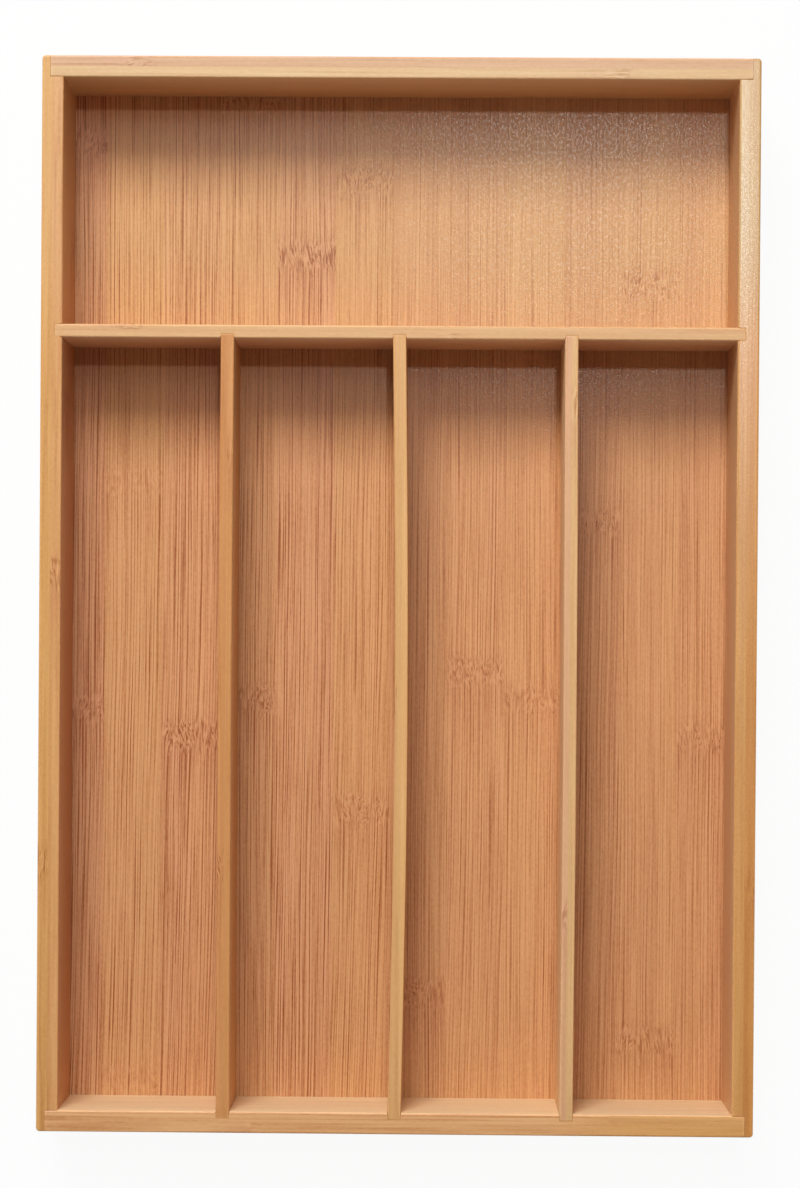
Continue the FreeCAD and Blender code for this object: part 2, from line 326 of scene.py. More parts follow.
class TraySizes(bpy.types.PropertyGroup):
    """Sizes of the laminated bamboo."""

    strip_width: bpy.props.FloatProperty(
        name="Floor strip width", description="Width of one bamboo strip of the floor",
        default=0.02475, min=0.005, unit="LENGTH")
    strip_ease: bpy.props.FloatProperty(
        name="Strip edge", description="Rounding along a floor strip's edges",
        default=0.00006, min=0.0, unit="LENGTH")
    board_strip_width: bpy.props.FloatProperty(
        name="Board strip width", description="Width of the strips glued edge to edge in a board",
        default=0.025, min=0.005, unit="LENGTH")
    node_reach: bpy.props.FloatProperty(
        name="Node height", description="Half the length of the marked band at a bamboo node",
        default=0.0085, min=0.001, unit="LENGTH")
    glue_spread: bpy.props.FloatProperty(
        name="Glue spread", description="How far the glue of a housed joint reaches past the divider",
        default=0.0005, min=0.0, unit="LENGTH")
    glue_inset: bpy.props.FloatProperty(
        name="Glue inset", description="How far the glue stays behind the face of the housing board",
        default=0.0008, min=0.0, unit="LENGTH")
    glue_sink: bpy.props.FloatProperty(
        name="Glue sink", description="How far the glue ends below the rim",
        default=0.00005, min=0.0, unit="LENGTH")
    glue_depth: bpy.props.FloatProperty(
        name="Glue depth", description="Thickness of the glue at the top of a housed joint",
        default=0.0008, min=0.0, unit="LENGTH")
    divider_bends: bpy.props.FloatVectorProperty(
        name="Divider bends", description="How far the middle of each long divider bends to the right",
        size=3, default=(-0.0002, 0.0017, 0.00045), unit="LENGTH")


class TrayColours(bpy.types.PropertyGroup):
    """Colours and finish of the bamboo."""

    floor_pale: bpy.props.FloatVectorProperty(
        name="Floor pale wood", description="Colour between the fibres of the floor",
        subtype="COLOR", size=4, min=0.0, max=1.0, default=(0.814, 0.441, 0.216, 1.0))
    floor_straw: bpy.props.FloatVectorProperty(
        name="Floor wood", description="Main colour of the floor",
        subtype="COLOR", size=4, min=0.0, max=1.0, default=(0.680, 0.328, 0.147, 1.0))
    floor_fibre: bpy.props.FloatVectorProperty(
        name="Floor fibres", description="Colour of the dark fibres in the floor",
        subtype="COLOR", size=4, min=0.0, max=1.0, default=(0.371, 0.116, 0.036, 1.0))
    board_pale: bpy.props.FloatVectorProperty(
        name="Board pale wood", description="Colour between the fibres of the boards",
        subtype="COLOR", size=4, min=0.0, max=1.0, default=(0.78, 0.43, 0.180, 1.0))
    board_straw: bpy.props.FloatVectorProperty(
        name="Board wood", description="Main colour of the boards",
        subtype="COLOR", size=4, min=0.0, max=1.0, default=(0.69, 0.35, 0.138, 1.0))
    board_fibre: bpy.props.FloatVectorProperty(
        name="Board fibres", description="Colour of the dark fibres in the boards",
        subtype="COLOR", size=4, min=0.0, max=1.0, default=(0.48, 0.195, 0.060, 1.0))
    lacquer_roughness: bpy.props.FloatProperty(
        name="Lacquer roughness", description="How dull the lacquer is",
        default=0.36, min=0.0, max=1.0, subtype="FACTOR")
    ground: bpy.props.FloatVectorProperty(
        name="Ground", description="Colour of the surface the tray stands on",
        subtype="COLOR", size=4, min=0.0, max=1.0, default=(0.92, 0.92, 0.92, 1.0))


class TrayLight(bpy.types.PropertyGroup):
    """Strength of the light on the stage."""

    broad_power: bpy.props.FloatProperty(
        name="Broad light", description="Power of the large soft light behind and to the left",
        default=31.0, min=0.0, unit="POWER")
    panel_power: bpy.props.FloatProperty(
        name="Overhead panel", description="Power of the wide dim panel above the back",
        default=8.5, min=0.0, unit="POWER")
    small_power: bpy.props.FloatProperty(
        name="Small light", description="Power of the small light high above the back",
        default=5.8, min=0.0, unit="POWER")
    zenith_level: bpy.props.FloatProperty(
        name="Ceiling level", description="How bright the space straight above is, where 1 is white",
        default=0.12, min=0.0, max=1.0, subtype="FACTOR")


class Wire:
    """A socket of a node tree that can be used in Python sums."""

    def __init__(self, socket):
        self.socket = socket
        self.tree = socket.id_data

    def output(self, name):
        """Another output of the same node."""
        return Wire(self.socket.node.outputs[name])

    def math(self, operation, *values):
        """A Math node on these values."""
        return add_node(self.tree, "ShaderNodeMath", {"operation": operation}, dict(enumerate(values)))

    def __add__(self, other):
        return self.math("ADD", self, other)

    def __radd__(self, other):
        return self.math("ADD", other, self)

    def __sub__(self, other):
        return self.math("SUBTRACT", self, other)

    def __rsub__(self, other):
        return self.math("SUBTRACT", other, self)

    def __mul__(self, other):
        return self.math("MULTIPLY", self, other)

    def __rmul__(self, other):
        return self.math("MULTIPLY", other, self)

    def __truediv__(self, other):
        return self.math("DIVIDE", self, other)

    def __rtruediv__(self, other):
        return self.math("DIVIDE", other, self)

    def __abs__(self):
        return self.math("ABSOLUTE", self)

    def __floor__(self):
        return self.math("FLOOR", self)

    def least(self, other):
        """The smaller of two values."""
        return self.math("MINIMUM", self, other)

    def most(self, other):
        """The larger of two values."""
        return self.math("MAXIMUM", self, other)

    def rise(self, low, high):
        """0 below low and 1 above high, with a smooth step between them. A high below low falls instead."""
        settings = {"interpolation_type": "SMOOTHSTEP"}
        values = {"Value": self, "From Min": low, "From Max": high, "To Min": 0.0, "To Max": 1.0}
        return add_node(self.tree, "ShaderNodeMapRange", settings, values)


def add_node(tree, kind, settings=None, values=None, output=0):
    """Adds one node, sets it up, fills its sockets with values or links, and returns an output as a Wire."""
    node = tree.nodes.new(kind)
    for name, value in (settings or {}).items():
        if name == "stops":
            set_stops(node.color_ramp, value)
        else:
            setattr(node, name, value)
    for name, value in (values or {}).items():
        if isinstance(value, Wire):
            tree.links.new(value.socket, node.inputs[name])
        else:
            node.inputs[name].default_value = value
    return Wire(node.outputs[output]) if node.outputs else node


def set_stops(ramp, stops):
    """Gives a colour ramp these stops, each a place and a colour."""
    while len(ramp.elements) < len(stops):
        ramp.elements.new(1.0)
    for element, (place, colour) in zip(ramp.elements, stops):
        element.position = place
        element.color = colour


def point(tree, x, y, z):
    """A vector from three values."""
    return add_node(tree, "ShaderNodeCombineXYZ", None, {"X": x, "Y": y, "Z": z})


def noise(tree, vector, scale=1.0, roughness=0.5):
    """Soft noise with so many cells to a unit of the vector."""
    values = {"Vector": vector, "Scale": scale, "Detail": 1.0, "Roughness": roughness}
    return add_node(tree, "ShaderNodeTexNoise", None, values)


def cells(tree, vector):
    """Scattered dots, about one to a unit square: the distance to the nearest, and a random number for it."""
    settings = {"voronoi_dimensions": "2D", "feature": "F1"}
    spots = add_node(tree, "ShaderNodeTexVoronoi", settings, {"Vector": vector, "Scale": 1.0}, "Distance")
    parts = add_node(tree, "ShaderNodeSeparateColor", None, {"Color": spots.output("Color")})
    return spots, parts


def mix_colour(tree, blend, factor, first, second):
    """Two colours mixed in one of Blender's ways."""
    settings = {"data_type": "RGBA", "blend_type": blend}
    return add_node(tree, "ShaderNodeMix", settings, {0: factor, 6: first, 7: second}, 2)


def new_material(name):
    """An empty node material."""
    material = bpy.data.materials.new(name)
    material.use_nodes = True
    material.node_tree.nodes.clear()
    return material


def attribute(tree, name):
    """A number that the mesh carries on its points."""
    return add_node(tree, "ShaderNodeAttribute", {"attribute_name": name}, None, "Fac")


def grain_axes(tree, grain, across, through):
    """Places along the axes of the grain, across the strip and through the ply, in metres."""
    place = add_node(tree, "ShaderNodeTexCoord", None, None, "Object")
    split = add_node(tree, "ShaderNodeSeparateXYZ", None, {"Vector": place})
    return split.output(grain), split.output(across), split.output(through)


# What is drawn on a piece: its axes and tint, which carries painted light and shade, how light it is, how
# much its fibres show and bend, how strong its nodes are, how far off the nearest is and how far it reaches,
# how many lie before a point, the bump of the board's form, and a seed
Look = namedtuple(
    "Look", "along across through tint tone fibres bend marking node_offset node_reach passed crown seed")

# The colours between the fibres, of the body of the wood and of its fibres
Wood = namedtuple("Wood", "pale straw fibre")

# The lacquer: how much it mirrors, how dull it is, and how strongly its specks and its uneven skin show
Finish = namedtuple("Finish", "polish roughness specks skin")

NodeMarks = namedtuple("NodeMarks", "near blush strokes")
FibreMarks = namedtuple("FibreMarks", "lines dark narrow broad fleck")


def swing(value):
    """How far a noise is from its middle."""
    return value - 0.5


def node_marks(tree, look):
    """A node: a ragged band of slanted strokes, with the wood in front of it a little darker and pinker."""
    ragged_depth = look.through / RAGGED_SCALE + look.seed
    ragged = noise(tree, point(tree, look.across / RAGGED_SCALE, ragged_depth, 0.0))
    gap = abs(look.node_offset) + swing(ragged) * RAGGED_DEPTH
    near = gap.rise(look.node_reach, look.node_reach * NODE_CORE) * look.marking
    blush = look.node_offset.rise(*BLUSH_START) * look.node_offset.rise(*BLUSH_STOP) * look.marking
    turn_depth = look.through / SLANT_SCALE + look.seed * SLANT_SEED
    turn = noise(tree, point(tree, look.across / SLANT_SCALE, turn_depth, 0.0))
    slant = swing(turn) * look.node_offset * SLANT_SLOPE
    stroke_depth = (look.through + slant) / STROKE_WIDTH + look.seed * STROKE_SEED
    place = point(tree, (look.across + slant) / STROKE_WIDTH, stroke_depth, look.along / STROKE_LENGTH)
    stroke = noise(tree, place)
    strokes = (stroke.rise(*DARK_STROKE) - stroke.rise(*PALE_STROKE) * PALE_STROKE_SHARE) * near
    return NodeMarks(near, blush, strokes)


def fibre_marks(tree, look):
    """The fibres between the nodes, from broad bands to single lines."""
    from_middle = look.along - BEND_MIDDLE
    sway = noise(tree, point(tree, look.across / SWAY_WIDTH, look.seed, look.along / SWAY_LENGTH))
    shifted = look.across + from_middle * from_middle * look.bend + swing(sway) * SWAY_DEPTH
    seed = look.seed + look.passed * NODE_SEED

    def drawn(mark):
        """Noise drawn out along the grain."""
        depth = look.through * (THROUGH_SHARE / mark.width) + seed * mark.spread
        place = point(tree, shifted / mark.width, depth, look.along / mark.length)
        return noise(tree, place, roughness=MARK_ROUGHNESS)

    def bundles(bundle):
        """Fibre bundles, dots in the section and lines on the faces, that fade in and out along the grain."""
        depth = look.through / bundle.pitch + seed * bundle.spread
        spot, chance = cells(tree, point(tree, shifted / bundle.pitch, depth, 0.0))
        fade = noise(tree, point(tree, chance * BUNDLE_SPAN, seed, look.along / bundle.length))
        strength = FAINTEST_BUNDLE + chance.output("Green") * (1.0 - FAINTEST_BUNDLE)
        return spot.rise(bundle.radius, bundle.radius * BUNDLE_CORE) * fade.rise(*BUNDLE_FADE) * strength

    def ripples(ripple):
        """Fine lines side by side, about one to a pitch, that wander and come and go along the grain."""
        depth = look.through * (THROUGH_SHARE / ripple.pitch) + seed * ripple.spread
        drift_place = point(tree, shifted / (ripple.pitch * DRIFT_WIDTH), depth, look.along / DRIFT_LENGTH)
        drift = noise(tree, drift_place)
        wave = shifted.math("SINE", (shifted / ripple.pitch + drift * DRIFT_TURNS) * math.tau)
        fade_across = shifted / (ripple.pitch * FADE_WIDTH)
        fade = noise(tree, point(tree, fade_across, depth + FADE_APART, look.along / ripple.length))
        return (wave.rise(*CREST) - CREST_MEAN) * fade.rise(*LINE_FADE) * ripple.weight

    dark = bundles(THICK_BUNDLE).most(bundles(THIN_BUNDLE))
    lines = ripples(CLOSE_LINES) + ripples(MIDDLE_LINES) + ripples(WIDE_LINES) + dark * DARKENING["bundle"]
    dash = drawn(SHORT_DASH).rise(*DASH_SHOWN)
    lines = lines + swing(drawn(SINGLE_LINE)) * DARKENING["line"] + dash * DARKENING["dash"]
    place = point(tree, shifted / FLECK_WIDTH, look.through / FLECK_WIDTH, look.along / FLECK_LENGTH)
    return FibreMarks(lines, dark, drawn(NARROW_BAND), drawn(BROAD_BAND), noise(tree, place))


def bamboo(material, look, wood, edge_wear_and_highlight, finish):
    """Draws lacquered bamboo: fibres along the grain, soft bands, nodes and a fine skin of lacquer."""
    tree = material.node_tree
    node = node_marks(tree, look)
    fibre = fibre_marks(tree, look)
    depth = DARKENING["base"] + fibre.lines * (1.0 - node.near * NODE_CLEARING) * look.fibres
    depth = depth + swing(fibre.narrow) * DARKENING["narrow"] + swing(fibre.broad) * DARKENING["broad"]
    depth = depth + swing(fibre.fleck) * DARKENING["fleck"] + node.strokes * DARKENING["stroke"]
    depth = depth + node.blush * DARKENING["blush"] - look.tone * DARKENING["tone"]
    stops = ((0.0, wood.pale), (STRAW_PLACE, wood.straw), (1.0, wood.fibre))
    colour = add_node(tree, "ShaderNodeValToRGB", {"stops": stops}, {"Fac": depth}, "Color")
    colour = mix_colour(tree, "MULTIPLY", 1.0, colour, look.tint)
    pink = (swing(fibre.broad) * BAND_PINK + 0.5 + node.blush * BLUSH_PINK).least(1.0).most(0.0)
    cast = mix_colour(tree, "MIX", pink, YELLOW_CAST, PINK_CAST)
    colour = mix_colour(tree, "MULTIPLY", 1.0, colour, cast)
    # Paler edges: rubbed wear and a painted highlight on the eased edges
    colour = mix_colour(tree, "MULTIPLY", edge_wear_and_highlight, colour, WEAR_AND_HIGHLIGHT_CAST)

    # The lacquer, with a fine uneven skin that sinks a little into the fibres
    skin = noise(tree, add_node(tree, "ShaderNodeTexCoord", None, None, "Object"), SKIN_SCALE)
    height = skin * finish.skin - fibre.dark * FIBRE_SINK + node.strokes * STROKE_RISE + look.crown
    bump = add_node(tree, "ShaderNodeBump", None, {"Strength": 1.0, "Distance": SKIN_DEPTH, "Height": height})
    place = point(tree, look.across / SPECK_WIDTH, look.through / SPECK_WIDTH, look.along / SPECK_LENGTH)
    spot = noise(tree, place).rise(*SPECK_SHOWN) * finish.specks
    roughness = finish.roughness * (1.0 - spot) + spot * SPECK_ROUGHNESS
    shader = add_node(tree, "ShaderNodeBsdfPrincipled", None, {
        "Base Color": colour, "Roughness": roughness, "Normal": bump, "IOR": LACQUER_IOR,
        "Specular IOR Level": finish.polish})
    add_node(tree, "ShaderNodeOutputMaterial", None, {"Surface": shader})
    return material


def edge_distance(tree, low, high):
    """How far a point of a board's surface is from the nearest edge of the board, in metres."""
    places = grain_axes(tree, "X", "Y", "Z")
    first, second, third = ((place - a).least(b - place) for place, a, b in zip(places, low, high))
    return first.least(second).most(first.most(second).least(third))


def opaque(tint):
    """A tint as a colour with full alpha."""
    return (*tint, 1.0)


def board_wood(colours):
    """The boards' three colours."""
    return Wood(colours.board_pale, colours.board_straw, colours.board_fibre)


def board_material(board, sizes, colours):
    """Bamboo for one board: strips glued edge to edge in two plies, each with its own tint, which carries
    painted light and shade, and nodes.
    """
    material = new_material(board.node + "_bamboo")
    tree = material.node_tree
    low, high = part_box(board.node)
    along, across, through = grain_axes(tree, board.grain, board.across, board.through)
    through_axis = "XYZ".index(board.through)
    middle = (low[through_axis] + high[through_axis]) / 2
    upper = through.rise(middle - PLY_SEAM, middle + PLY_SEAM)
    strip = math.floor((high.z - EDGE_EASE - across) / sizes.board_strip_width)

    # The tint changes from ply to ply, towards the far end and at the top edge. It carries painted light and
    # shade: lit and shaded faces, a painted sheen on top edges, and more of both at the far end
    grain_axis = "XYZ".index(board.grain)
    length = high[grain_axis] - low[grain_axis]
    at_far_end = along.rise(*(low[grain_axis] + length * share for share in FAR_END_SHARES))
    edge = mix_colour(tree, "MIX", upper, opaque(board.low_ply.edge), opaque(board.high_ply.edge))
    edge = mix_colour(tree, "MULTIPLY", at_far_end, edge, opaque(board.far_end.edge))
    face = mix_colour(tree, "MIX", upper, opaque(board.low_ply.face), opaque(board.high_ply.face))
    face = mix_colour(tree, "MULTIPLY", at_far_end, face, opaque(board.far_end.face))
    top = across.rise(*(high.z - depth for depth in TOP_BAND))
    tint = mix_colour(tree, "MIX", top, face, edge)

    # Each ply has its own fibres, and each of its strips has a node and a seed of its own
    fibres = board.low_ply.fibres + upper * (board.high_ply.fibres - board.low_ply.fibres)
    low_knot, high_knot = board.knots
    knot = low_knot + upper * (high_knot - low_knot) + (strip + 1.0).most(0.0) * KNOT_STEP
    seed = strip * STRIP_SEED + upper * PLY_SEED + board.seed * BOARD_SEED

    # The bump makes the top edge a little crowned, and its lacquer is glossier than that of the faces
    off_middle = through - middle
    through_rise, along_rise = board.lean
    slope = off_middle * through_rise + along * along_rise
    crown = (slope - off_middle * off_middle * EDGE_CROWN) / SKIN_DEPTH
    shine = max(board.polish - PLAIN_POLISH, 0.0) * SHINE_SHARE
    roughness = colours.lacquer_roughness - shine + (1.0 - top) * FACE_DULLNESS
    look = Look(along, across, through, tint, tone=0.0, fibres=fibres, bend=0.0, marking=board.marking,
                node_offset=along - knot, node_reach=sizes.node_reach,
                passed=along.math("GREATER_THAN", along, knot), crown=crown, seed=seed)
    # Paler edges from rubbed wear and a painted highlight
    wear_and_highlight = edge_distance(tree, low, high).rise(*WEAR_AND_HIGHLIGHT_BAND)
    finish = Finish(board.polish, roughness, top * BOARD_SPECKS, BOARD_SKIN)
    return bamboo(material, look, board_wood(colours), wear_and_highlight, finish)


def floor_material(sizes, colours):
    """Bamboo for the floor, whose strips carry their tone, fibres and nodes as numbers on the mesh."""
    material = new_material("floor_bamboo")
    tree = material.node_tree
    along, across, through = grain_axes(tree, "Y", "X", "Z")
    own = {name: attribute(tree, name) for name in (*Strip._fields, "seed")}

    # A strip has two nodes, of which the nearest is drawn
    to_near, to_far = along - own["near_node"], along - own["far_node"]
    nearest_is_far = along.math("GREATER_THAN", abs(to_near), abs(to_far))
    offset = to_near + (to_far - to_near) * nearest_is_far
    past_near = along.math("GREATER_THAN", along, own["near_node"])
    past_far = along.math("GREATER_THAN", along, own["far_node"])
    passed = (past_near + past_far) * own["marking"].rise(*MARKED_NODE)

    # The tint changes from strip to strip; along the grain it carries painted shade and sheen, and at the
    # back right a painted sheen, where fibres are calmer
    tint = mix_colour(tree, "MIX", own["blush"], STRIP_YELLOW, STRIP_PINK)
    length = FLOOR_HIGH.y - FLOOR_LOW.y
    share = (along - FLOOR_LOW.y) / length
    # Painted shade by the front wall and before the cross divider, and a painted sheen in the back bay
    stops = [((place - FLOOR_LOW.y) / length, opaque(tone)) for place, tone in FLOOR_PAINTED_SHADE_AND_SHEEN]
    painted_shade_and_sheen = add_node(tree, "ShaderNodeValToRGB", {"stops": stops}, {"Fac": share}, "Color")
    tint = mix_colour(tree, "MULTIPLY", 1.0, tint, painted_shade_and_sheen)
    # A painted sheen at the back right, paler and yellower
    pale = along.rise(*SHEEN_ALONG) * across.rise(*SHEEN_ACROSS)
    tint = mix_colour(tree, "MULTIPLY", pale, tint, SHEEN_TINT)
    calm = along.rise(*CALM_ALONG) * across.rise(*CALM_ACROSS)
    fibres = own["fibres"] * (1.0 - calm * CALM_SHARE)

    look = Look(along, across, through, tint, tone=own["tone"], fibres=fibres, bend=own["bend"],
                marking=own["marking"], node_offset=offset, node_reach=sizes.node_reach, passed=passed,
                crown=0.0, seed=own["seed"])
    wood = Wood(colours.floor_pale, colours.floor_straw, colours.floor_fibre)
    finish = Finish(FLOOR_POLISH, colours.lacquer_roughness, 1.0, 1.0)
    return bamboo(material, look, wood, 0.0, finish)


def glue_material(sizes, colours):
    """Glue mixed with bamboo dust, a little darker than the boards and without nodes."""
    material = new_material("glue_line")
    along, across, through = grain_axes(material.node_tree, "X", "Z", "Y")
    out_of_reach = along + 1.0
    look = Look(along, across, through, opaque(GLUE_TINT), tone=0.0, fibres=GLUE_FIBRES, bend=0.0,
                marking=0.0, node_offset=out_of_reach, node_reach=sizes.node_reach, passed=0.0, crown=0.0,
                seed=GLUE_SEED)
    finish = Finish(PLAIN_POLISH, colours.lacquer_roughness, 0.0, BOARD_SKIN)
    return bamboo(material, look, board_wood(colours), 0.0, finish)


def new_tree(name, inputs):
    """A geometry tree with these named inputs, each a name and a socket type."""
    tree = bpy.data.node_groups.new(name, "GeometryNodeTree")
    tree.interface.new_socket("Geometry", in_out="INPUT", socket_type="NodeSocketGeometry")
    for label, kind in inputs:
        tree.interface.new_socket(label, in_out="INPUT", socket_type=kind)
    tree.interface.new_socket("Geometry", in_out="OUTPUT", socket_type="NodeSocketGeometry")
    return tree


def tree_inputs(tree):
    """Every input of a geometry tree by name, as a Wire."""
    node = tree.nodes.new("NodeGroupInput")
    return {socket.name: Wire(socket) for socket in node.outputs if socket.name}


def end_tree(tree, geometry, material):
    """Realizes what the tree made, gives it its material and sends it out."""
    real = add_node(tree, "GeometryNodeRealizeInstances", None, {"Geometry": geometry})
    dressed = add_node(tree, "GeometryNodeSetMaterial", None, {"Geometry": real, "Material": material})
    add_node(tree, "NodeGroupOutput", None, {"Geometry": dressed})


def run_tree(name, mesh, tree, values):
    """Runs a geometry tree on a mesh and returns an object that holds the plain result."""
    source = bpy.data.objects.new(name + "_source", mesh)
    bpy.context.scene.collection.objects.link(source)
    modifier = source.modifiers.new("Shape", "NODES")
    modifier.node_group = tree
    places = {item.name: item.identifier for item in tree.interface.items_tree if item.in_out == "INPUT"}
    for label, value in values.items():
        modifier[places[label]] = value
    graph = bpy.context.evaluated_depsgraph_get()
    result = bpy.data.meshes.new_from_object(source.evaluated_get(graph), depsgraph=graph)
    bpy.data.objects.remove(source)
    result.name = name
    piece = bpy.data.objects.new(name, result)
    bpy.context.scene.collection.objects.link(piece)
    return piece


def strip_floor_tree():
    """Floor strips: a rounded bar on every point, trimmed to the panel's width."""
    tree = new_tree("Laminated floor", (
        ("Strip Width", "NodeSocketFloat"), ("Thickness", "NodeSocketFloat"), ("Length", "NodeSocketFloat"),
        ("Edge", "NodeSocketFloat"), ("Half Width", "NodeSocketFloat"), ("Wood", "NodeSocketMaterial")))
    given = tree_inputs(tree)
    half = given["Length"] / 2.0
    start = point(tree, 0.0, 0.0 - half, 0.0)
    end = point(tree, 0.0, half, 0.0)
    path = add_node(tree, "GeometryNodeCurvePrimitiveLine", {"mode": "POINTS"}, {"Start": start, "End": end})
    section = add_node(tree, "GeometryNodeCurvePrimitiveQuadrilateral", {"mode": "RECTANGLE"},
                       {"Width": given["Strip Width"], "Height": given["Thickness"]})
    section = add_node(tree, "GeometryNodeFilletCurve", {"mode": "POLY"},
                       {"Curve": section, "Count": EASE_STEPS, "Radius": given["Edge"]})
    bar = add_node(tree, "GeometryNodeCurveToMesh", None,
                   {"Curve": path, "Profile Curve": section, "Fill Caps": True})
    bars = add_node(tree, "GeometryNodeInstanceOnPoints", None,
                    {"Points": given["Geometry"], "Instance": bar})
    solid = add_node(tree, "GeometryNodeRealizeInstances", None, {"Geometry": bars})
    place = add_node(tree, "GeometryNodeInputPosition")
    split = add_node(tree, "ShaderNodeSeparateXYZ", None, {"Vector": place})
    trimmed = split.output("X").least(given["Half Width"]).most(0.0 - given["Half Width"])
    moved = point(tree, trimmed, split.output("Y"), split.output("Z"))
    solid = add_node(tree, "GeometryNodeSetPosition", None, {"Geometry": solid, "Position": moved})
    end_tree(tree, solid, given["Wood"])
    return tree


def bent_board_tree():
    """A divider that bends sideways between its two housed ends."""
    tree = new_tree("Bent divider", (
        ("Bend", "NodeSocketFloat"), ("Front", "NodeSocketFloat"), ("Back", "NodeSocketFloat"),
        ("Wood", "NodeSocketMaterial")))
    given = tree_inputs(tree)
    place = add_node(tree, "GeometryNodeInputPosition")
    split = add_node(tree, "ShaderNodeSeparateXYZ", None, {"Vector": place})
    share = (split.output("Y") - given["Front"]) / (given["Back"] - given["Front"])
    bend = given["Bend"] * share.math("SINE", share * math.pi)
    solid = add_node(tree, "GeometryNodeSetPosition", None,
                     {"Geometry": given["Geometry"], "Offset": point(tree, bend, 0.0, 0.0)})
    end_tree(tree, solid, given["Wood"])
    return tree


def glue_tree():
    """A block of glue on every point, each of its own size."""
    tree = new_tree("Glue lines", (("Wood", "NodeSocketMaterial"),))
    given = tree_inputs(tree)
    block = add_node(tree, "GeometryNodeMeshCube", None, {"Size": (1.0, 1.0, 1.0)}, "Mesh")
    size = add_node(tree, "GeometryNodeInputNamedAttribute", {"data_type": "FLOAT_VECTOR"},
                    {"Name": "extent"})
    blocks = add_node(tree, "GeometryNodeInstanceOnPoints", None,
                      {"Points": given["Geometry"], "Instance": block, "Scale": size})
    end_tree(tree, blocks, given["Wood"])
    return tree


def joint_spans(sizes):
    """The reach across and along the tray of the glue in every housed joint."""
    cross_low, cross_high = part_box("cross_divider")
    inset, spread = sizes.glue_inset, sizes.glue_spread
    depth = (cross_low.y - spread, cross_high.y + spread)
    left_face, right_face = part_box("left_side")[1].x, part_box("right_side")[0].x
    front_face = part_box("front_board")[1].y
    left_width = (cross_low.x - spread, left_face - inset)
    right_width = (right_face + inset, cross_high.x + spread)
    spans = [(left_width, depth), (right_width, depth)]
    for board in LONG_BOARDS:
        low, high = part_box(board.node)
        width = (low.x - spread, high.x + spread)
        spans.append((width, (low.y - spread, front_face - inset)))
        spans.append((width, (cross_low.y + inset, high.y + spread)))
    return spans


def dress_board(board, scene):
    """Gives a packed board its bamboo."""
    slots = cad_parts[board.node].material_slots
    slots[0].material = board_material(board, scene.tray_sizes, scene.tray_colours)


def soft_shading(mesh):
    """Smooth shading that keeps the board's corners sharp."""
    mesh.polygons.foreach_set("use_smooth", [True] * len(mesh.polygons))
    mesh.set_sharp_from_angle(angle=SHARP_ANGLE)


def finish_piece(piece, node):
    """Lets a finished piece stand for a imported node."""
    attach(piece, "root")
    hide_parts(node)


class TRAY_OT_floor(bpy.types.Operator):
    """Lays the floor from bamboo strips glued edge to edge"""

    bl_idname = "tray.floor"
    bl_label = "Laminated floor"

    def execute(self, context):
        sizes, colours = context.scene.tray_sizes, context.scene.tray_colours
        half_width = (FLOOR_HIGH.x - FLOOR_LOW.x) / 2
        middle = (FLOOR_HIGH + FLOOR_LOW) / 2
        count = len(FLOOR_STRIPS)
        mesh = bpy.data.meshes.new("floor_strip_places")
        steps = [half_width - sizes.strip_width * (count - index - 0.5) for index in range(count)]
        mesh.from_pydata([(middle.x + step, middle.y, middle.z) for step in steps], [], [])
        for field in Strip._fields:
            values = [getattr(strip, field) for strip in FLOOR_STRIPS]
            mesh.attributes.new(field, "FLOAT", "POINT").data.foreach_set("value", values)
        seeds = [FIRST_SEED + SEED_STEP * index for index in range(count)]
        mesh.attributes.new("seed", "FLOAT", "POINT").data.foreach_set("value", seeds)
        piece = run_tree("floor_strips", mesh, strip_floor_tree(), {
            "Strip Width": sizes.strip_width, "Thickness": FLOOR_HIGH.z - FLOOR_LOW.z,
            "Length": FLOOR_HIGH.y - FLOOR_LOW.y, "Edge": sizes.strip_ease,
            "Half Width": half_width, "Wood": floor_material(sizes, colours)})
        piece.data.polygons.foreach_set("use_smooth", [False] * len(piece.data.polygons))
        finish_piece(piece, "floor_panel")
        return {"FINISHED"}


class TRAY_OT_rim(bpy.types.Operator):
    """Dresses the four boards of the rim"""

    bl_idname = "tray.rim"
    bl_label = "Rim boards"

    def execute(self, context):
        for board in RIM_BOARDS:
            dress_board(board, context.scene)
        return {"FINISHED"}


class TRAY_OT_cross(bpy.types.Operator):
    """Dresses the divider that closes the back bay"""

    bl_idname = "tray.cross"
    bl_label = "Cross divider"

    def execute(self, context):
        dress_board(CROSS_BOARD, context.scene)
        return {"FINISHED"}


class TRAY_OT_dividers(bpy.types.Operator):
    """Bends and dresses the three long dividers"""

    bl_idname = "tray.dividers"
    bl_label = "Long dividers"

    def execute(self, context):
        sizes, colours = context.scene.tray_sizes, context.scene.tray_colours
        tree = bent_board_tree()
        for board, bend in zip(LONG_BOARDS, sizes.divider_bends):
            low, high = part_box(board.node)
            mesh = self.sliced_copy(board.node, low.y, high.y)
            piece = run_tree(board.node + "_bent", mesh, tree, {
                "Bend": bend, "Front": low.y, "Back": high.y,
                "Wood": board_material(board, sizes, colours)})
            soft_shading(piece.data)
            finish_piece(piece, board.node)
        return {"FINISHED"}

    def sliced_copy(self, node, front, back):
        """A merged copy of a packed divider, cut across at even steps so that it can bend."""
        shape = bmesh.new()
        shape.from_mesh(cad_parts[node].data)
        bmesh.ops.remove_doubles(shape, verts=shape.verts, dist=MERGE_DISTANCE)
        bmesh.ops.dissolve_limit(shape, angle_limit=FLAT_ANGLE, verts=shape.verts, edges=shape.edges)
        for index in range(1, BEND_STEPS):
            place = Vector((0.0, front + (back - front) * index / BEND_STEPS, 0.0))
            parts = shape.verts[:] + shape.edges[:] + shape.faces[:]
            bmesh.ops.bisect_plane(shape, geom=parts, plane_co=place, plane_no=(0.0, 1.0, 0.0))
        mesh = bpy.data.meshes.new(node + "_sliced")
        shape.to_mesh(mesh)
        shape.free()
        return mesh


